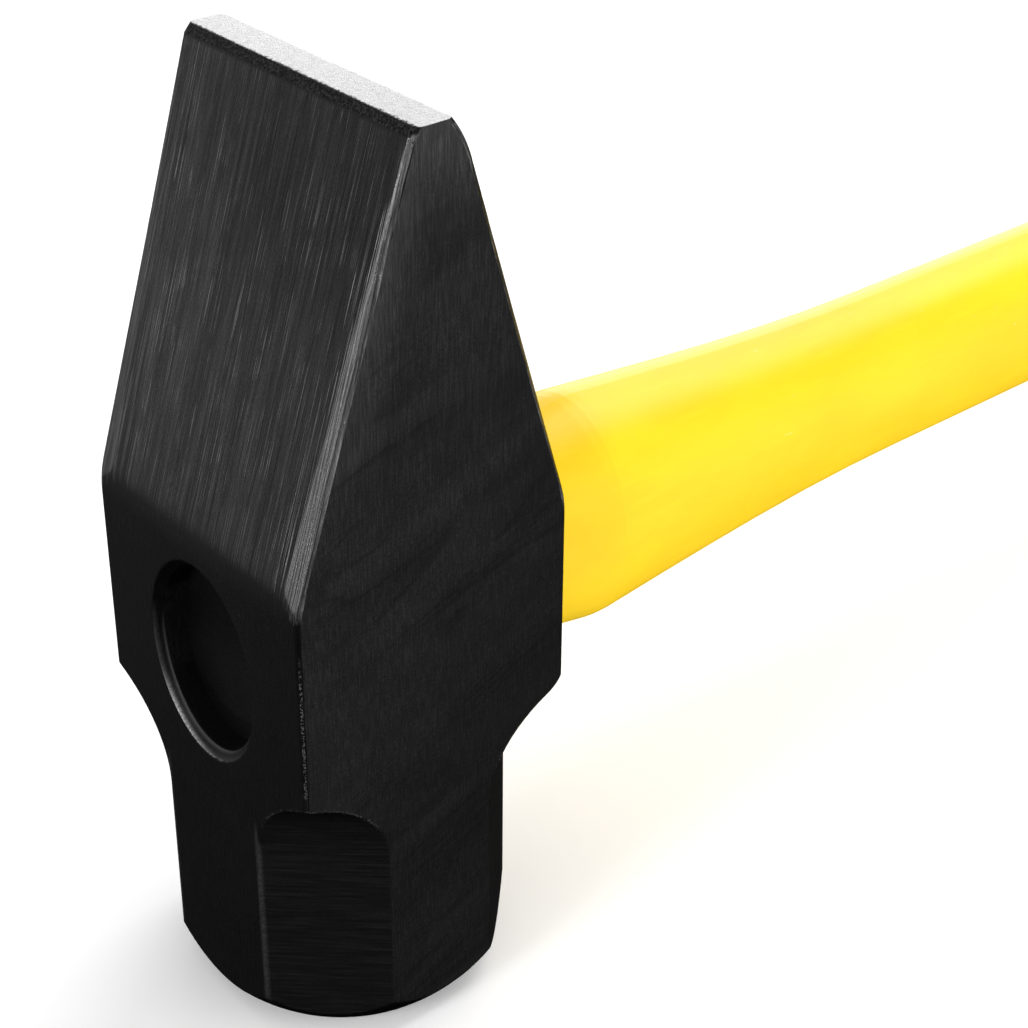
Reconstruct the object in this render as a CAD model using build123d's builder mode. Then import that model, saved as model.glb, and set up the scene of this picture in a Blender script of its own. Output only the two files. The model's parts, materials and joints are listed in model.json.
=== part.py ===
from build123d import *
import math
import os

os.makedirs("parts", exist_ok=True)

# Brick hammer: a forged head with a square body, an octagonal striking poll below and a
# cross-wise blade above, on an oval fibreglass handle that is bonded in the eye with resin.
# The head stands on its striking face: the origin is that face's centre, +Z runs up the
# head to the blade, +X points along the handle and the cheeks face -Y and +Y.

# Head
head_thickness = 44.5      # cheek to cheek, along Y
head_depth = 43.0          # front to back, along X
poll_length = 47.0         # striking face to the bottom of the square body
body_height = 28.5         # square body, up to the corner where the blade's taper starts
blade_length = 56.8        # taper, from the square body to the blade's end
body_blend = 18.0          # radius that softens the corner between the body and the taper
blade_width = 45.8         # the blade spreads a little past the cheeks at its end
blade_edge_thickness = 5.3 # flat ground end of the blade
front_nose = (0.9, 1.0)    # narrow bevel at the end of the front slope: depth, height
back_nose = (3.0, 5.6)     # wide rounding at the end of the back slope: depth, height
relief_width = 3.0         # ground relief along the slopes' corners, on the slope
relief_depth = 0.35        # the same on the cheek
corner_radius = 0.8        # upright corners of the square body

# Octagonal poll
poll_front_flat = 20.6     # width of the flat that faces the front
poll_back_flat = 19.4      # width of the flat that faces the handle
poll_cheek_flat = 17.2     # width of the flats that face the cheeks' way
runout_radius = 15.5       # round run-out at the top of each corner flat
back_runout_rise = 1.2     # the run-outs on the handle's side end this much higher
front_lower_radius = 1.5   # rounds the square body's lower corners, in front
back_lower_radius = 4.5    # and on the handle's side

# Striking face and its turned rim
face_radius = 19.1         # flat of the striking face
rim_crown_radius = 27.6    # the rim is turned to a sphere
face_edge_radius = 1.2

# Eye, an oval hole with a narrower waist and a bevel round each mouth
eye_rise = 9.8             # eye's centre above the bottom of the square body
eye_mouth_width = 20.8
eye_mouth_height = 27.0
eye_waist_narrowing = 1.0  # the waist is this much narrower and lower than the mouths
eye_bevel = 1.1

# Handle: a core rod, a moulded jacket with a shoulder, and a rubber grip
overall_reach = 355.0      # front of the head to the butt of the grip
oval_ratio = 0.78          # width over height of every oval section of the handle
core_height = 22.0         # height of the core's oval
tang_recess = 8.0          # end of the core behind the front of the head
resin_recess = 4.5         # resin's surface behind the front of the head
resin_dish = 0.7           # the resin's surface sags this much at its middle
seal_length = 4.0          # putty ring that closes the back mouth of the eye

shoulder_seat_height = 30.0  # jacket's section where it bears on the head
shoulder_height = 35.8       # where the shoulder's cone and the neck would meet
shoulder_length = 19.0       # head to that meeting
shoulder_radius = 14.0       # rounds the ridge between the cone and the neck
neck_length = 66.0           # ridge to the end of the neck's curve
neck_height = 27.2           # section at the end of the neck's curve
neck_start_slope = 0.095     # the neck narrows at this slope at first
shaft_height = 26.8          # plain shaft, on to the butt
plain_lead = 35.0            # the plain shaft starts this far before the grip
outline_steps = (2, 2, 6)    # the jacket is lofted in this many steps: cone, ridge and neck

grip_length = 132.0
grip_height = 31.2         # grooved stretch of the grip
grip_lip_height = 29.4     # thin front lip
grip_lip_length = 7.0
butt_height = 38.0         # hand stop at the butt
butt_length = 16.0
butt_flare_length = 10.0   # smooth swell from the grooved stretch to the hand stop
butt_flare_steps = 5       # the swell is lofted in this many steps
butt_wall = 6.0            # rubber behind the end of the shaft
butt_corner_radius = 3.5
butt_corner_steps = 3      # and the butt's rounded edge in this many
groove_count = 6
groove_pitch = 14.0
groove_width = 3.0
groove_depth = 1.0

# Worked out from the sizes above
half_depth = head_depth / 2
half_thickness = head_thickness / 2
body_top = poll_length + body_height
head_length = body_top + blade_length
half_edge = blade_edge_thickness / 2
eye_height = poll_length + eye_rise
butt_x = overall_reach - half_depth
shaft_end = butt_x - butt_wall
grip_start = butt_x - grip_length
resin_front = resin_recess - half_depth
seal_front = half_depth - seal_length


def oval_plane(x):
    """Plane across the handle at this distance from the head's axis."""
    return Plane(origin=(x, 0, eye_height), x_dir=(0, 1, 0), z_dir=(1, 0, 0))


def cheek_at(z):
    """Distance of the flared cheek from the middle plane, at a height on the taper."""
    spread = (blade_width - head_thickness) / 2
    flare_radius = (spread**2 + blade_length**2) / (2 * spread)
    return half_thickness + flare_radius - math.sqrt(flare_radius**2 - (z - body_top) ** 2)


# The space inside the eye: two tapers that meet at the waist, and a bevel at each mouth
with BuildPart() as eye_space:
    mouth_x = half_depth - eye_bevel
    for x, narrowing in ((-mouth_x, 0), (0, eye_waist_narrowing), (mouth_x, 0)):
        with BuildSketch(oval_plane(x)):
            Ellipse((eye_mouth_width - narrowing) / 2, (eye_mouth_height - narrowing) / 2)
    loft(ruled=True)
    for mouth_side in (-1, 1):
        for x, opening in ((mouth_x, 0), (half_depth, eye_bevel)):
            with BuildSketch(oval_plane(mouth_side * x)):
                Ellipse(eye_mouth_width / 2 + opening, eye_mouth_height / 2 + opening)
        loft()

# Head
with BuildPart() as head:
    # seen from the cheek: poll, square body, long taper to the blade
    front_end = (-half_edge - front_nose[0], head_length - front_nose[1])
    back_end = (half_edge + back_nose[0], head_length - back_nose[1])
    with BuildSketch(Plane.XZ) as side_view:
        with BuildLine():
            Polyline(
                (half_edge, head_length),
                (-half_edge, head_length),
                front_end,
                (-half_depth, body_top),
                (-half_depth, 0),
                (half_depth, 0),
                (half_depth, body_top),
                back_end,
            )
            back_slope = (back_end[0] - half_depth, back_end[1] - body_top)
            TangentArc(back_end, (half_edge, head_length), tangent=back_slope)
        make_face()
        fillet(side_view.vertices().group_by(Axis.Y)[1], radius=body_blend)
    extrude(amount=blade_width, both=True)

    # seen from the front: straight cheeks that flare smoothly along the taper
    with BuildSketch(Plane.YZ):
        with BuildLine() as front_view:
            Polyline((0, 0), (half_thickness, 0), (half_thickness, body_top))
            TangentArc((half_thickness, body_top), (blade_width / 2, head_length), tangent=(0, 1))
            Line((blade_width / 2, head_length), (0, head_length))
            mirror(front_view.line, about=Plane.YZ)
        make_face()
    extrude(amount=head_depth, both=True, mode=Mode.INTERSECT)

    # upright corners, lightly rounded from the poll to the blade
    uprights = head.edges().filter_by(Axis.Y, reverse=True).filter_by(Axis.X, reverse=True)
    fillet(uprights, radius=corner_radius)

    # corner reliefs of the taper: they open from nothing at the blade to full width below
    for end, side in ((front_end, -1), (back_end, 1)):
        for cheek in (-1, 1):
            tip = Vector(end[0], cheek * cheek_at(end[1]), end[1])
            on_slope = Vector(side * half_depth, cheek * (half_thickness - relief_width), body_top)
            on_cheek = Vector(side * (half_depth - relief_depth), cheek * half_thickness, body_top)
            outward = (on_slope - tip).cross(on_cheek - tip) * (side * cheek)
            split(bisect_by=Plane(origin=tip, z_dir=outward), keep=Keep.BOTTOM)

    # the four corner flats that make the poll an octagon, with their round run-outs
    for side, end_flat, runout_top, lower_radius in (
        (-1, poll_front_flat, poll_length, front_lower_radius),
        (1, poll_back_flat, poll_length + back_runout_rise, back_lower_radius),
    ):
        flat_x = half_depth - poll_cheek_flat / 2
        flat_y = half_thickness - end_flat / 2
        for cheek in (-1, 1):
            outward = Vector(side * flat_y, cheek * flat_x, 0).normalized()
            reach = outward.dot(Vector(side * half_depth, cheek * end_flat / 2, 0))
            corner_reach = outward.dot(Vector(side * half_depth, cheek * half_thickness, 0))
            runout_start = runout_top - runout_radius
            swing = math.acos(1 - (corner_reach - reach) / runout_radius)
            runout_end = (corner_reach, runout_start + runout_radius * math.sin(swing))
            section = Plane(origin=(0, 0, 0), x_dir=outward, z_dir=outward.cross(Vector(0, 0, 1)))
            with BuildSketch(section) as runout:
                with BuildLine():
                    Line((reach, -1), (reach, runout_start))
                    RadiusArc((reach, runout_start), runout_end, runout_radius)
                    Polyline(
                        runout_end,
                        (corner_reach, body_top),
                        (corner_reach + head_thickness, body_top),
                        (corner_reach + head_thickness, -1),
                        (reach, -1),
                    )
                make_face()
                fillet(runout.vertices().sort_by_distance(runout_end)[0], radius=lower_radius)
            extrude(amount=head_thickness, both=True, mode=Mode.SUBTRACT)

    # turned rim round the striking face, with a rounded edge
    crown_height = math.sqrt(rim_crown_radius**2 - face_radius**2)
    with BuildSketch(Plane.XZ) as rim:
        with BuildLine():
            RadiusArc((rim_crown_radius, crown_height), (face_radius, 0), rim_crown_radius)
            Polyline(
                (rim_crown_radius, crown_height),
                (head_thickness, crown_height),
                (head_thickness, -1),
                (face_radius - 2 * face_edge_radius, -1),
                (face_radius - 2 * face_edge_radius, 0),
                (face_radius, 0),
            )
        make_face()
        fillet(rim.vertices().sort_by_distance((face_radius, 0))[0], radius=face_edge_radius)
    revolve(axis=Axis.Z, mode=Mode.SUBTRACT)

    add(eye_space.part, mode=Mode.SUBTRACT)
head.part.label = "head"

# Fibreglass core: one oval rod from the eye to the butt
with BuildPart() as handle_core:
    with BuildSketch(oval_plane(tang_recess - half_depth)):
        Ellipse(oval_ratio * core_height / 2, core_height / 2)
    extrude(amount=shaft_end - (tang_recess - half_depth))
handle_core.part.label = "handle_core"

# Putty ring round the core in the back mouth of the eye, which held the liquid resin in
with BuildPart() as eye_seal:
    add(eye_space.part)
    split(bisect_by=oval_plane(seal_front), keep=Keep.TOP)
    add(handle_core.part, mode=Mode.SUBTRACT)
eye_seal.part.label = "eye_seal"

# Cast resin: fills the eye round and over the end of the core
with BuildPart() as eye_resin:
    add(eye_space.part)
    split(bisect_by=oval_plane(seal_front), keep=Keep.BOTTOM)
    split(bisect_by=oval_plane(resin_front), keep=Keep.TOP)
    dish_radius = (eye_mouth_width / 2) ** 2 / (2 * resin_dish)
    with Locations((resin_front + resin_dish - dish_radius, 0, eye_height)):
        Sphere(dish_radius, mode=Mode.SUBTRACT)
    add(handle_core.part, mode=Mode.SUBTRACT)
eye_resin.part.label = "eye_resin"

# Jacket's outline: half its height along the handle, over the shoulder's cone, ridge and neck
shoulder_x = half_depth + shoulder_length
neck_x = shoulder_x + neck_length
plain_x = grip_start - plain_lead
taper_slope = (neck_height - shaft_height) / 2 / (plain_x - neck_x)
with BuildLine() as jacket_outline:
    ridge = (shoulder_x, shoulder_height / 2)
    Line((half_depth, shoulder_seat_height / 2), ridge)
    Spline(ridge, (neck_x, neck_height / 2), tangents=((1, -neck_start_slope), (1, -taper_slope)))
    fillet(jacket_outline.vertices().sort_by(Axis.X)[1], radius=shoulder_radius)

# Jacket: it bears on the head with its shoulder and runs on to the butt as a plain oval shaft
with BuildPart() as handle_jacket:
    stations = [(half_depth, shoulder_seat_height / 2)]
    for stretch, steps in zip(jacket_outline.edges().sort_by(Axis.X), outline_steps):
        for step in range(steps):
            point = stretch @ ((step + 1) / steps)
            stations.append((point.X, point.Y))
    stations += [(plain_x, shaft_height / 2), (shaft_end, shaft_height / 2)]
    for x, half_height in stations:
        with BuildSketch(oval_plane(x)):
            Ellipse(oval_ratio * half_height, half_height)
    loft(ruled=True)
    add(handle_core.part, mode=Mode.SUBTRACT)
handle_jacket.part.label = "handle_jacket"

# Rubber grip: a grooved sleeve with a thin front lip and a hand stop with a rounded butt
with BuildPart() as grip:
    grooves_start = grip_start + 2 * grip_lip_length
    stop_x = butt_x - butt_length
    stations = [(grip_start, grip_lip_height / 2), (grip_start + grip_lip_length, grip_height / 2)]
    for step in range(butt_flare_steps + 1):
        share = step / butt_flare_steps
        swell = (butt_height - grip_height) / 2 * (1 - math.cos(math.pi * share)) / 2
        stations.append((stop_x - butt_flare_length * (1 - share), grip_height / 2 + swell))
    for step in range(butt_corner_steps + 1):
        turn = math.pi / 2 * step / butt_corner_steps
        x = butt_x - butt_corner_radius * (1 - math.sin(turn))
        stations.append((x, butt_height / 2 - butt_corner_radius * (1 - math.cos(turn))))
    for x, half_height in stations:
        with BuildSketch(oval_plane(x)):
            Ellipse(oval_ratio * half_height, half_height)
    loft(ruled=True)
    for number in range(groove_count):
        with BuildSketch(oval_plane(grooves_start + number * groove_pitch)):
            Ellipse(oval_ratio * grip_height, grip_height)
            floor_height = grip_height - 2 * groove_depth
            Ellipse(oval_ratio * floor_height / 2, floor_height / 2, mode=Mode.SUBTRACT)
        extrude(amount=groove_width, mode=Mode.SUBTRACT)
    add(handle_jacket.part, mode=Mode.SUBTRACT)
    add(handle_core.part, mode=Mode.SUBTRACT)
grip.part.label = "grip"

export_step(head.part, "parts/head.step")
export_step(handle_core.part, "parts/handle_core.step")
export_step(eye_seal.part, "parts/eye_seal.step")
export_step(eye_resin.part, "parts/eye_resin.step")
export_step(handle_jacket.part, "parts/handle_jacket.step")
export_step(grip.part, "parts/grip.step")
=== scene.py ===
import json
import math
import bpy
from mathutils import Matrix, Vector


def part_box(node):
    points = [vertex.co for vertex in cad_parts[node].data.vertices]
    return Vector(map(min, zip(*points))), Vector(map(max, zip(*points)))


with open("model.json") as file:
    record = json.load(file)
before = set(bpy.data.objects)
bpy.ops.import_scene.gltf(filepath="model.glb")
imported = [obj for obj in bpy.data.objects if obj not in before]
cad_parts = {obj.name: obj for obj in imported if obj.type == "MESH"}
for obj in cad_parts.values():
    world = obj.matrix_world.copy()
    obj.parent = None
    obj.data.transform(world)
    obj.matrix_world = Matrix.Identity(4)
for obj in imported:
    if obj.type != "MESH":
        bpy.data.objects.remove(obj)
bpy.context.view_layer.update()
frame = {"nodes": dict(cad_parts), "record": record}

from types import SimpleNamespace

import bpy
from mathutils import Matrix, Vector

# The brick hammer's looks. Its shapes are the CAD nodes' own; this script gives each node a
# procedural material, and sets up the floor, the light and the camera.

MM = 0.001

# ---------------------------------------------------------------- sizes, in millimetres
mounts = {mount["name"]: mount["pos_m"] for mount in frame["record"]["mounts"]}
head_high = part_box("head")[1] / MM
core_low, core_high = (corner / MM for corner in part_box("handle_core"))
HEAD_TOP = head_high.z
HALF_DEPTH = head_high.x
BLADE_HALF_WIDTH = head_high.y
HALF_THICKNESS = mounts["cheek_far"][1] / MM         # a cheek from the middle plane
EYE_HEIGHT = (core_low.z + core_high.z) / 2
BODY_TOP = 75.5              # where the taper to the blade starts
POLL_TOP = 47.0              # where the octagonal poll ends
HALF_EDGE = 2.65             # half of the blade's flat end
FRONT_NOSE = (0.9, 1.0)      # narrow bevel of the front slope: depth, height
BACK_NOSE = (3.0, 5.6)       # wide rounding of the back slope: depth, height
RELIEF_WIDTH = 3.0           # corner relief of the slopes, on the slope
RELIEF_DEPTH = 0.35          # and on the cheek
EYE_HALF_WIDTH = 10.4        # mouth of the eye, inside its bevel
EYE_HALF_HEIGHT = 13.5
POLL_FRONT_HALF_FLAT = 10.3
EDGE_ROUNDING = 0.55         # radius that edges look rounded to, and over which they wear

# ---------------------------------------------------------------- grey levels, linear
# (low, high): a level that its surface's texture spreads from low to high
SKIN = (0.0010, 0.0040)      # black finish, in its patches
SKIN_GRAIN = 0.0046          # what the grain adds to it
UPPER_CHEEK_HIGHLIGHT = (0.0035, 0.0125)  # painted highlight, added where the cheeks rise to the blade
CHEEK_EDGE_HIGHLIGHT = 0.028               # painted highlight, added along the front slope's edge and below the blade
SPECKS = 0.007               # added in small specks
NOSE = (0.006, 0.040)        # dark speckled ends of the slopes, beside the blade's flat
PANEL = (0.0028, 0.0085)     # milled corner flats of the poll
PANEL_EDGE_HIGHLIGHT = 0.014                 # painted highlight, added along the edges of the poll's front and back flats
SLOPE = (0.015, 0.058)       # ground slopes, in their streaks
SLOPE_LINES = (0.11, 0.16)   # bright scratches on them: in the middle, near the corners
STRIP_DARK = (0.08, 0.07)    # corner strips between their streaks: below, by the blade
STRIP_BARE = 0.27            # their streaks
STRIP_LINES = 0.12           # added where scratches cross them
BARE_END = (0.265, 0.41)     # ground flat end of the blade
WORN_EDGE = 0.30             # chipped edges
EYE_BEVEL_HIGHLIGHT = 0.55               # painted highlight on the bevel of the eye


# ---------------------------------------------------------------- node shorthand
class Finish:
    """A material's node tree, with short calls for the nodes that it uses."""

    def __init__(self, name):
        self.material = bpy.data.materials.new(name)
        self.material.use_nodes = True
        self.tree = self.material.node_tree
        self.tree.nodes.clear()
        texture = self.tree.nodes.new("ShaderNodeTexCoord")
        scaled = self.tree.nodes.new("ShaderNodeVectorMath")
        scaled.operation = "SCALE"
        self.tree.links.new(texture.outputs["Object"], scaled.inputs[0])
        scaled.inputs["Scale"].default_value = 1 / MM
        self.place = scaled.outputs[0]
        self.x, self.y, self.z = self.split(self.place)
        self.nx, self.ny, self.nz = self.split(texture.outputs["Normal"])

    def feed(self, socket, value):
        if isinstance(value, bpy.types.NodeSocket):
            self.tree.links.new(value, socket)
        elif value is not None:
            socket.default_value = value

    def node(self, kind, *values, **settings):
        made = self.tree.nodes.new(kind)
        for name, value in settings.items():
            setattr(made, name, value)
        for socket, value in zip(made.inputs, values):
            self.feed(socket, value)
        return made

    def split(self, vector):
        return self.node("ShaderNodeSeparateXYZ", vector).outputs

    def join(self, x, y, z):
        return self.node("ShaderNodeCombineXYZ", x, y, z).outputs[0]

    def dot(self, a, b):
        return self.node("ShaderNodeVectorMath", a, b, operation="DOT_PRODUCT").outputs["Value"]

    def math(self, operation, *values):
        """One operation over one value, or over several from the first to the last."""
        result = values[0]
        for value in values[1:] or (None,):
            result = self.node("ShaderNodeMath", result, value, operation=operation).outputs[0]
        return result

    def add(self, *values):
        return self.math("ADD", *values)

    def sub(self, a, b):
        return self.math("SUBTRACT", a, b)

    def mul(self, *values):
        return self.math("MULTIPLY", *values)

    def power(self, value, exponent):
        return self.math("POWER", value, exponent)

    def most(self, *values):
        return self.math("MAXIMUM", *values)

    def abs(self, value):
        return self.math("ABSOLUTE", value)

    def ramp(self, value, low, high, start, end):
        """start below low, end above high, smooth between them."""
        made = self.node("ShaderNodeMapRange", interpolation_type="SMOOTHSTEP")
        names = ("Value", "From Min", "From Max", "To Min", "To Max")
        for name, number in zip(names, (value, low, high, start, end)):
            self.feed(made.inputs[name], number)
        return made.outputs[0]

    def rise(self, value, low, high):
        """0 below low, 1 above high, smooth between them."""
        return self.ramp(value, low, high, 0.0, 1.0)

    def fall(self, value, low, high):
        """1 below low, 0 above high, smooth between them."""
        return self.ramp(value, low, high, 1.0, 0.0)

    def band(self, value, low, full, still_full, high):
        """1 from full to still_full, 0 below low and above high."""
        return self.mul(self.rise(value, low, full), self.fall(value, still_full, high))

    def spread(self, value, low, high):
        """Maps 0..1 to low..high, evenly."""
        made = self.node("ShaderNodeMapRange")
        for name, number in zip(("Value", "To Min", "To Max"), (value, low, high)):
            self.feed(made.inputs[name], number)
        return made.outputs[0]

    def noise(self, cells, detail=2.0, roughness=0.5, distortion=0.0, place=None, shift=0.0):
        """Noise with so many cells to the millimetre: one number, or one for each axis."""
        cells = Vector((cells,) * 3) if isinstance(cells, (int, float)) else Vector(cells)
        scaled = self.node("ShaderNodeVectorMath", place or self.place, cells,
                           operation="MULTIPLY")
        moved = self.node("ShaderNodeVectorMath", scaled.outputs[0], (shift, 2 * shift, 3 * shift))
        made = self.node("ShaderNodeTexNoise")
        names = ("Vector", "Scale", "Detail", "Roughness", "Distortion")
        for name, value in zip(names, (moved.outputs[0], 1.0, detail, roughness, distortion)):
            self.feed(made.inputs[name], value)
        return made.outputs["Fac"]

    def blend(self, amount, a, b):
        """a where amount is 0, b where it is 1; numbers or sockets."""
        made = self.node("ShaderNodeMix", data_type="FLOAT")
        self.feed(made.inputs[0], amount)
        self.feed(made.inputs[2], a)
        self.feed(made.inputs[3], b)
        return made.outputs[0]

    def tint(self, amount, a, b):
        """Colours a and b mixed."""
        made = self.node("ShaderNodeMix", data_type="RGBA")
        self.feed(made.inputs[0], amount)
        self.feed(made.inputs[6], (*a, 1.0) if isinstance(a, tuple) else a)
        self.feed(made.inputs[7], (*b, 1.0) if isinstance(b, tuple) else b)
        return made.outputs[2]

    def bump(self, height, depth, normal=None):
        """Bump of `depth` millimetres for a height of 0 to 1."""
        made = self.node("ShaderNodeBump")
        self.feed(made.inputs["Height"], height)
        self.feed(made.inputs["Strength"], 1.0)
        self.feed(made.inputs["Distance"], depth * MM)
        self.feed(made.inputs["Normal"], normal)
        return made.outputs[0]

    def surface(self, colour, roughness, metal=0.0, normal=None, **constants):
        made = self.node("ShaderNodeBsdfPrincipled")
        self.feed(made.inputs["Base Color"], colour)
        self.feed(made.inputs["Roughness"], roughness)
        self.feed(made.inputs["Metallic"], metal)
        self.feed(made.inputs["Normal"], normal)
        for name, value in constants.items():
            self.feed(made.inputs[name.replace("_", " ")], value)
        output = self.node("ShaderNodeOutputMaterial")
        self.tree.links.new(made.outputs[0], output.inputs["Surface"])
        return self.material


# ---------------------------------------------------------------- the head
def head_textures(f):
    """The patterns of the head's surfaces, each from 0 to 1."""
    t = SimpleNamespace()
    t.ragged = f.noise(2.4, detail=4.0, roughness=0.7)
    t.fine = f.noise(6.0, detail=3.0, roughness=0.6)
    t.fine_grain = f.rise(t.fine, 0.35, 0.65)
    t.speckle = f.noise(3.2, detail=3.0, roughness=0.7, shift=5.0)
    t.specks = f.rise(f.noise(2.4, detail=1.0, shift=7.0), 0.70, 0.78)
    t.grain = f.rise(f.noise((4.0, 4.0, 0.25), detail=3.0, roughness=0.7), 0.35, 0.72)
    t.milled = f.noise((0.12, 0.12, 5.0), detail=3.0, roughness=0.65)

    # streaks of the grinding, which run up the slopes: thin in y, long in z
    up_slope = f.join(f.y, f.z, 0.0)
    t.streak = f.noise((6.0, 0.07, 1.0), detail=3.0, roughness=0.65, place=up_slope)
    t.line = f.noise((6.2, 0.06, 1.0), roughness=0.6, place=up_slope, shift=3.7)
    wide_streak = f.noise((1.2, 0.04, 1.0), place=up_slope, shift=9.1)
    t.streaks = f.add(f.mul(f.rise(t.streak, 0.38, 0.70), 0.65),
                      f.mul(f.rise(wide_streak, 0.35, 0.70), 0.35))
    t.lines = f.mul(f.rise(t.line, 0.58, 0.68), f.rise(f.noise(0.25), 0.36, 0.60))

    # soft bands and thin dark marks that the forging left across the cheeks, and blotches
    across = f.join(f.sub(f.mul(f.z, 0.10), f.mul(f.x, 0.035)), f.mul(f.x, 0.02),
                    f.mul(f.y, 0.02))
    t.bands = f.noise(1.0, detail=4.0, roughness=0.6, distortion=0.6, place=across)
    t.marks = f.mul(f.fall(f.abs(f.sub(t.bands, 0.5)), 0.0, 0.045),
                    f.rise(f.noise(0.05, shift=2.0), 0.40, 0.60))
    blotches = f.noise(0.09, detail=3.0)
    t.patches = f.rise(f.add(f.mul(t.bands, 0.5), f.mul(blotches, 0.5)), 0.30, 0.70)
    return t


def relief_distance(f, side, cheek):
    """Distance from the plane of one corner relief of the taper."""
    nose = FRONT_NOSE if side < 0 else BACK_NOSE
    tip_z = HEAD_TOP - nose[1]
    flare = BLADE_HALF_WIDTH - HALF_THICKNESS
    taper = HEAD_TOP - BODY_TOP
    flare_radius = (flare**2 + taper**2) / (2 * flare)
    rest = flare_radius - math.sqrt(flare_radius**2 - (tip_z - BODY_TOP) ** 2)
    tip = Vector((side * (HALF_EDGE + nose[0]), cheek * (HALF_THICKNESS + rest), tip_z))
    on_slope = Vector((side * HALF_DEPTH, cheek * (HALF_THICKNESS - RELIEF_WIDTH), BODY_TOP))
    on_cheek = Vector((side * (HALF_DEPTH - RELIEF_DEPTH), cheek * HALF_THICKNESS, BODY_TOP))
    normal = (on_slope - tip).cross(on_cheek - tip).normalized()
    return f.abs(f.sub(f.dot(f.place, normal), normal.dot(tip)))


def head_zones(f, t, edge):
    """Where each surface of the head lies: masks from 0 to 1, by place and by facing.

    edge is 1 on edges, and t holds the textures that fray the zones' outlines.
    """
    zone = SimpleNamespace()
    ax, ay, az = f.abs(f.nx), f.abs(f.ny), f.abs(f.nz)
    off_middle = f.abs(f.y)
    off_axis = f.abs(f.x)
    zone.cheek = f.rise(ay, 0.90, 0.96)
    upright_corner = f.mul(f.rise(ax, 0.50, 0.60), f.rise(ay, 0.50, 0.60))

    # ground slopes, frayed where they end on the body and ragged at the blade
    frayed = f.add(f.z, f.mul(f.sub(t.streak, 0.5), 6.0))
    zone.slope = f.mul(f.rise(ax, 0.80, 0.90), f.rise(f.nz, 0.12, 0.26),
                       f.rise(frayed, BODY_TOP - 2.0, BODY_TOP + 5.5),
                       f.fall(f.add(f.z, f.mul(t.ragged, 0.8)), HEAD_TOP - 1.3, HEAD_TOP - 0.6))
    zone.nose = f.mul(f.rise(f.nz, 0.45, 0.60), f.rise(f.z, HEAD_TOP - 2.5, HEAD_TOP - 1.5))

    # bare strips: the slopes' corner reliefs, and their fringe on the slope and on the cheek
    nearest = f.math("MINIMUM", *(relief_distance(f, side, cheek)
                                  for side in (-1, 1) for cheek in (-1, 1)))
    fringe = f.blend(zone.cheek, f.mul(f.rise(t.line, 0.52, 0.64), 0.30),
                     f.mul(f.rise(t.fine, 0.48, 0.60), 0.45))
    fringe = f.mul(fringe, f.fall(f.z, HEAD_TOP - 20, HEAD_TOP - 4))
    relief = f.mul(f.fall(f.sub(nearest, fringe), 0.02, 0.06), f.rise(f.z, 68.0, 71.0),
                   f.rise(off_middle, HALF_THICKNESS - 2.0 * RELIEF_WIDTH,
                          HALF_THICKNESS - 1.7 * RELIEF_WIDTH),
                   f.fall(f.add(f.z, f.mul(t.ragged, 0.6)), HEAD_TOP - 1.2, HEAD_TOP - 0.4))
    taper_edge = f.mul(f.band(ay, 0.22, 0.30, 0.985, 0.995), f.fall(az, 0.5, 0.6),
                       f.band(f.z, BODY_TOP - 2, BODY_TOP + 3, HEAD_TOP - 1.2, HEAD_TOP - 0.6))
    zone.strip = f.most(relief, taper_edge)

    # bare flat end of the blade, with a ragged front edge
    front_edge = f.add(f.x, f.spread(t.ragged, HALF_EDGE - 1.2, HALF_EDGE + 0.6))
    zone.end = f.mul(f.rise(f.nz, 0.90, 0.97), f.rise(f.z, HEAD_TOP - 0.6, HEAD_TOP - 0.3),
                     f.rise(front_edge, -0.05, 0.05))

    # the poll's milled corner flats, and a painted highlight along the edges beside its front and
    # back flats
    zone.panel = f.mul(upright_corner, f.fall(f.z, POLL_TOP + 1, POLL_TOP + 3))
    seam = f.fall(f.abs(f.sub(off_middle, POLL_FRONT_HALF_FLAT)), 0.05, 0.6)
    zone.seam = f.mul(seam, f.rise(ax, 0.5, 0.6), f.band(f.z, 3.0, 8.0, 33.0, 38.0))

    # chipped edges: the run-outs' tops, clear of the eye, and the body's upright corners
    clear_of_eye = f.most(f.rise(off_middle, 11.8, 12.6), f.fall(f.z, 42.5, 43.5))
    run_out = f.mul(edge, clear_of_eye, f.band(f.z, 36.0, 43.0, POLL_TOP + 2, POLL_TOP + 3))
    upright = f.mul(upright_corner, f.fall(az, 0.04, 0.10),
                    f.rise(off_middle, HALF_THICKNESS - 2.0, HALF_THICKNESS - 1.2),
                    f.band(f.z, POLL_TOP + 0.5, POLL_TOP + 1.5, 56.0, 70.0))
    zone.worn = f.mul(f.most(run_out, upright), f.rise(t.speckle, 0.50, 0.60))

    # bevel of the eye: a painted highlight, laid as bare metal, along its outer edge, most at the
    # lower side towards +Y, and faintly along its inner edge
    across = f.mul(f.y, 1 / EYE_HALF_WIDTH)
    upward = f.mul(f.sub(f.z, EYE_HEIGHT), 1 / EYE_HALF_HEIGHT)
    ring = f.math("SQRT", f.add(f.mul(across, across), f.mul(upward, upward)))
    downward = f.sub(f.mul(across, 0.45), f.mul(upward, 0.89))
    lower_side = f.add(f.mul(f.power(f.rise(downward, 0.76, 1.10), 2.0), 0.92),
                       f.mul(f.rise(downward, 0.1, 0.9), 0.08))
    outer = f.mul(f.band(ring, 1.04, 1.11, 1.12, 1.15), lower_side,
                  f.ramp(t.speckle, 0.3, 0.6, 0.4, 1.0))
    inner = f.mul(f.fall(f.abs(f.sub(ring, 1.0)), 0.005, 0.03),
                  f.rise(downward, 0.2, 0.9), 0.08)
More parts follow.
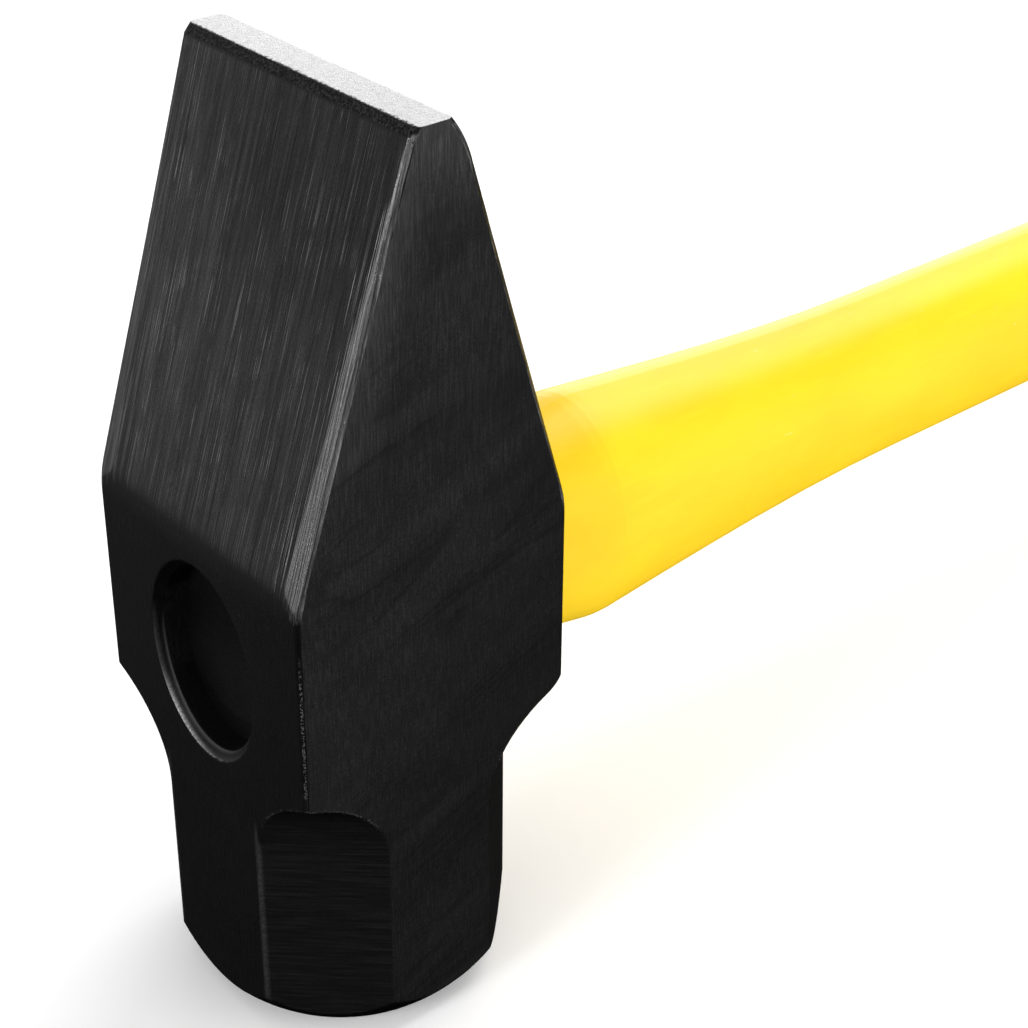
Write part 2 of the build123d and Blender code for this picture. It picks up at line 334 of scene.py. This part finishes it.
    # painted highlight on the eye's bevel, kept to the bevel itself
    zone.burnish = f.mul(f.most(outer, inner), f.band(ax, 0.60, 0.66, 0.80, 0.90),
                         f.rise(off_axis, HALF_DEPTH - 1.6, HALF_DEPTH - 1.2))
    return zone


def cheek_edge_highlight(f, t, cheek):
    """Painted highlight on the cheeks: along the front slope's edge and below the blade."""
    slope_line = Vector((HALF_DEPTH - HALF_EDGE - FRONT_NOSE[0],
                         HEAD_TOP - FRONT_NOSE[1] - BODY_TOP)).normalized()
    inside = f.sub(f.mul(f.add(f.x, HALF_DEPTH), slope_line.y),
                   f.mul(f.sub(f.z, BODY_TOP), slope_line.x))
    by_slope = f.mul(f.power(f.fall(inside, -2.0, 11.0), 2.0),
                     f.rise(f.z, BODY_TOP + 2, BODY_TOP + 50))
    by_blade = f.power(f.rise(f.z, HEAD_TOP - 20, HEAD_TOP + 3), 2.0)
    return f.mul(f.most(by_slope, by_blade), cheek, f.spread(t.grain, 0.6, 1.4))


def head_level(f, t, zone):
    """Grey level all over the head: each zone's own, laid over the black finish."""
    cheek = zone.cheek

    # black finish, with painted shade darker off the cheeks and towards their back ends, and a
    # painted highlight up the taper
    skin = f.add(f.spread(t.patches, *SKIN), f.mul(t.grain, SKIN_GRAIN))
    # painted shade: the faces off the cheeks darker, and the cheeks darker towards +X
    skin = f.mul(skin, f.blend(cheek, 0.38, f.ramp(f.x, -12.0, 20.0, 1.10, 0.75)))
    # painted highlight: the cheeks lighter as they rise to the blade
    upper_highlight = f.mul(cheek, f.rise(f.sub(f.z, f.mul(f.x, 0.6)), 40.0, 120.0))
    skin = f.add(skin, f.mul(upper_highlight, f.spread(f.mul(t.grain, t.patches), *UPPER_CHEEK_HIGHLIGHT)))
    skin = f.mul(skin, f.blend(f.mul(t.marks, cheek), 1.0, 0.60),
                 f.spread(t.fine_grain, 0.6, 1.4))
    # painted highlight along the cheeks' front edge and below the blade, broken by the grain
    skin = f.add(skin, f.mul(cheek_edge_highlight(f, t, cheek), CHEEK_EDGE_HIGHLIGHT), f.mul(t.specks, SPECKS))
    skin = f.blend(zone.nose, skin, f.ramp(t.speckle, 0.45, 0.62, *NOSE))

    # ground slopes, with painted shading: darker by the blade and towards -Y, lighter towards +Y
    # above the body
    near_corner = f.rise(f.abs(f.y), HALF_THICKNESS - 5.0, HALF_THICKNESS - 0.5)
    slope = f.add(f.spread(t.streaks, *SLOPE), f.mul(t.lines, f.blend(near_corner, *SLOPE_LINES)))
    lighter = f.mul(f.rise(f.y, 0.0, 20.0), f.rise(f.z, 76.0, 98.0))
    # painted shading of the slopes: darker by the blade and towards -Y, lighter towards +Y above
    # the body
    slope = f.mul(slope, f.ramp(f.z, HEAD_TOP - 40, HEAD_TOP - 8, 1.30, 0.80),
                  f.spread(t.fine_grain, 0.72, 1.28), f.blend(lighter, 1.0, 1.40),
                  f.ramp(f.y, -20.0, -4.0, 0.88, 1.0))

    # corner strips: bright streaks over dark ones, with painted shade making them duller on the
    # far side
    dark = f.ramp(f.z, HEAD_TOP - 45, HEAD_TOP - 5, *STRIP_DARK)
    strip = f.add(f.blend(f.rise(t.streak, 0.40, 0.60), dark, STRIP_BARE),
                  f.mul(t.lines, STRIP_LINES))
    # painted shade: the strips on the far side, towards +Y, duller
    strip = f.mul(strip, f.ramp(f.y, -5.0, 5.0, 1.0, 0.5))

    # flat end: slanting grinding marks
    slanted = f.join(f.x, f.add(f.y, f.mul(f.x, 0.6)), 0.0)
    end_grain = f.noise((1.0, 5.0, 1.0), detail=3.0, roughness=0.65, place=slanted)
    end_marks = f.add(f.mul(end_grain, 0.7), f.mul(t.speckle, 0.3))
    end = f.mul(f.ramp(end_marks, 0.38, 0.58, *BARE_END),
                f.ramp(f.y, -BLADE_HALF_WIDTH, BLADE_HALF_WIDTH, 0.88, 1.07))

    level = f.blend(zone.panel, skin, f.ramp(t.milled, 0.40, 0.75, *PANEL))
    level = f.blend(zone.slope, level, slope)
    # painted highlight along the edges of the poll's front and back flats
    level = f.add(level, f.mul(zone.seam, f.ramp(t.speckle, 0.35, 0.60, 0.5, 1.6), PANEL_EDGE_HIGHLIGHT))
    level = f.blend(zone.worn, level, WORN_EDGE)
    # painted highlight on the eye's bevel
    level = f.blend(zone.burnish, level, EYE_BEVEL_HIGHLIGHT)
    level = f.blend(zone.strip, level, strip)
    return f.blend(zone.end, level, end)


def forged_head():
    """Black finish over forged steel; ground slopes, bare corner strips and a bare blade end."""
    f = Finish("forged_head")
    rounded = f.node("ShaderNodeBevel", samples=6)
    f.feed(rounded.inputs["Radius"], EDGE_ROUNDING * MM)
    geometry = f.node("ShaderNodeNewGeometry")
    turned_away = f.dot(rounded.outputs[0], geometry.outputs["Normal"])
    edge = f.fall(turned_away, 0.94, 0.99)

    t = head_textures(f)
    zone = head_zones(f, t, edge)
    level = head_level(f, t, zone)
    bare = f.most(zone.strip, zone.end, zone.worn, f.mul(zone.burnish, 0.9))
    metal = f.most(f.mul(f.most(zone.slope, zone.nose), 0.9), bare)
    roughness = f.blend(zone.slope, f.spread(t.fine, 0.42, 0.52), 0.42)
    roughness = f.blend(bare, roughness, 0.30)
    height = f.add(f.mul(t.bands, zone.cheek, 0.5), f.mul(t.grain, 0.04),
                   f.mul(t.streaks, zone.slope, 0.05), f.mul(t.milled, zone.panel, 0.06),
                   f.mul(t.fine, 0.03))
    normal = f.bump(height, 0.5, rounded.outputs[0])
    return f.surface(f.join(level, level, level), roughness, metal, normal,
                     Specular_IOR_Level=0.18)


# ---------------------------------------------------------------- the other pieces
def yellow_jacket():
    """Glossy moulded jacket with a faint mottling, flow streaks and a few scuffs."""
    deep, bright = (0.91, 0.585, 0.0015), (0.95, 0.635, 0.004)
    streaked, scuffed = (0.97, 0.68, 0.008), (0.98, 0.84, 0.35)
    f = Finish("yellow_jacket")
    mottle = f.noise((0.05, 0.12, 0.12), detail=3.0, roughness=0.55)
    flow = f.noise((0.04, 0.7, 0.7), detail=3.0, roughness=0.6)
    scuff = f.mul(f.rise(f.noise((0.35, 2.2, 2.2)), 0.70, 0.78), f.rise(f.noise(0.05), 0.50, 0.60))
    colour = f.tint(f.rise(mottle, 0.3, 0.7), deep, bright)
    colour = f.tint(f.mul(f.rise(flow, 0.55, 0.75), 0.35), colour, streaked)
    colour = f.tint(f.mul(scuff, 0.45), colour, scuffed)
    wave = f.noise((0.03, 0.12, 0.12))
    normal = f.bump(f.add(wave, f.mul(f.noise(0.6), 0.015)), 0.10)
    roughness = f.add(f.spread(f.noise(0.4, detail=3.0, roughness=0.6), 0.34, 0.44),
                      f.mul(scuff, 0.12))
    return f.surface(colour, roughness, normal=normal, Specular_IOR_Level=0.32)


def plain_finish(name, colour, roughness, cells, depth, specular):
    """Moulded or cast material: a clouded colour and a fine grain.

    roughness is (low, high), cells the grain's cells to the millimetre and depth its depth in
    millimetres.
    """
    f = Finish(name)
    grain = f.noise(cells, detail=3.0, roughness=0.6)
    cloud = f.rise(f.noise(cells / 12), 0.3, 0.7)
    clouded = f.tint(cloud, tuple(0.7 * part for part in colour),
                     tuple(1.2 * part for part in colour))
    return f.surface(clouded, f.spread(grain, *roughness), normal=f.bump(grain, depth),
                     Specular_IOR_Level=specular)


materials = {
    "head": forged_head(),
    "handle_jacket": yellow_jacket(),
    "handle_core": plain_finish("fibreglass_core", (0.55, 0.47, 0.28), roughness=(0.45, 0.65),
                                cells=3.0, depth=0.03, specular=0.4),
    "eye_resin": plain_finish("black_resin", (0.003, 0.003, 0.0033), roughness=(0.45, 0.60),
                              cells=1.5, depth=0.06, specular=0.1),
    "eye_seal": plain_finish("seal_putty", (0.07, 0.068, 0.064), roughness=(0.6, 0.8),
                             cells=1.2, depth=0.1, specular=0.3),
    "grip": plain_finish("black_rubber", (0.012, 0.012, 0.0125), roughness=(0.55, 0.75),
                         cells=3.5, depth=0.05, specular=0.3),
}
for name, material in materials.items():
    node = frame["nodes"][name]
    node.data.materials.clear()
    node.data.materials.append(material)


# ---------------------------------------------------------------- studio
def floor():
    """Pale floor with a faint glow of its own. It doesn't show in the object's reflections."""
    mesh = bpy.data.meshes.new("floor")
    reach = 8.0              # metres each way
    corners = [(-reach, -reach, 0), (reach, -reach, 0), (reach, reach, 0), (-reach, reach, 0)]
    mesh.from_pydata(corners, [], [(0, 1, 2, 3)])
    made = bpy.data.objects.new("floor", mesh)
    bpy.context.scene.collection.objects.link(made)
    f = Finish("floor")
    level = f.spread(f.noise(0.004), 0.86, 0.88)
    pale = f.join(level, level, level)
    mesh.materials.append(f.surface(pale, 0.9, Specular_IOR_Level=0.1,
                                    Emission_Color=(1.0, 1.0, 1.0, 1.0), Emission_Strength=0.16))
    made.visible_glossy = False


def softbox(name, at, aim, side, power, in_reflections=True):
    """Square area light, with its side in metres and its power in watts."""
    data = bpy.data.lights.new(name, "AREA")
    data.shape = "SQUARE"
    data.size = side
    data.energy = power
    made = bpy.data.objects.new(name, data)
    made.location = at
    made.rotation_euler = (Vector(aim) - Vector(at)).to_track_quat("-Z", "Y").to_euler()
    made.visible_camera = False
    made.visible_glossy = in_reflections
    bpy.context.scene.collection.objects.link(made)


def surroundings():
    """The room: pale above, dark below, with three soft brighter sides."""
    world = bpy.data.worlds.new("studio")
    bpy.context.scene.world = world
    world.use_nodes = True
    tree = world.node_tree
    tree.nodes.clear()
    texture = tree.nodes.new("ShaderNodeTexCoord")

    def towards(direction, low, high, brightness):
        """0 where the cosine to the direction is below low, full brightness above high."""
        cosine = tree.nodes.new("ShaderNodeVectorMath")
        cosine.operation = "DOT_PRODUCT"
        tree.links.new(texture.outputs["Generated"], cosine.inputs[0])
        cosine.inputs[1].default_value = Vector(direction).normalized()
        made = tree.nodes.new("ShaderNodeMapRange")
        made.interpolation_type = "SMOOTHSTEP"
        tree.links.new(cosine.outputs["Value"], made.inputs["Value"])
        made.inputs["From Min"].default_value = low
        made.inputs["From Max"].default_value = high
        made.inputs["To Max"].default_value = brightness
        return made.outputs[0]

    level = towards((0, 0, 1), -0.45, 0.30, 0.70)
    for direction, low, brightness in (
        ((0.38, -0.90, -0.10), 0.72, 1.10),
        ((-0.62, 0.78, -0.05), 0.80, 0.70),
        ((0.68, 0.71, 0.15), 0.90, 3.60),
    ):
        total = tree.nodes.new("ShaderNodeMath")
        total.operation = "ADD"
        tree.links.new(level, total.inputs[0])
        tree.links.new(towards(direction, low, 1.0, brightness), total.inputs[1])
        level = total.outputs[0]
    background = tree.nodes.new("ShaderNodeBackground")
    output = tree.nodes.new("ShaderNodeOutputWorld")
    tree.links.new(level, background.inputs["Strength"])
    tree.links.new(background.outputs[0], output.inputs["Surface"])


def studio():
    """Soft light from above, from the near cheek's side and from the head's front."""
    surroundings()
    middle, head = (0.05, 0, 0.06), (-0.02, 0, 0.05)
    softbox("overhead", at=(0.65, 0.10, 0.95), aim=middle, side=0.8, power=8.5)
    softbox("side", at=(0.45, -1.10, 0.45), aim=middle, side=0.9, power=6.2,
            in_reflections=False)
    softbox("front", at=(-0.95, -0.10, 0.52), aim=head, side=0.35, power=4)
    bpy.context.scene.view_settings.view_transform = "Standard"


def camera():
    """The photograph's view: from the head's front, near cheek and top.

    The angles in degrees, the place in millimetres and the lens were fitted to the photograph.
    """
    azimuth, elevation, roll = (math.radians(angle) for angle in (-40.592, 31.136, 0.475))
    place = Vector((-149.55, -211.28, 226.85)) * MM
    back = Vector((math.sin(azimuth) * math.cos(elevation),
                   -math.cos(azimuth) * math.cos(elevation),
                   math.sin(elevation)))
    level_right = Vector((math.cos(azimuth), math.sin(azimuth), 0))
    level_up = back.cross(level_right)
    right = math.cos(roll) * level_right + math.sin(roll) * level_up
    up = math.cos(roll) * level_up - math.sin(roll) * level_right
    data = bpy.data.cameras.new("camera")
    data.lens = 80.333
    data.sensor_width = 36
    data.clip_start = 0.01
    made = bpy.data.objects.new("camera", data)
    turn = Matrix((right, up, back)).transposed().to_4x4()
    made.matrix_world = Matrix.Translation(place) @ turn
    bpy.context.scene.collection.objects.link(made)
    bpy.context.scene.camera = made


floor()
studio()
camera()
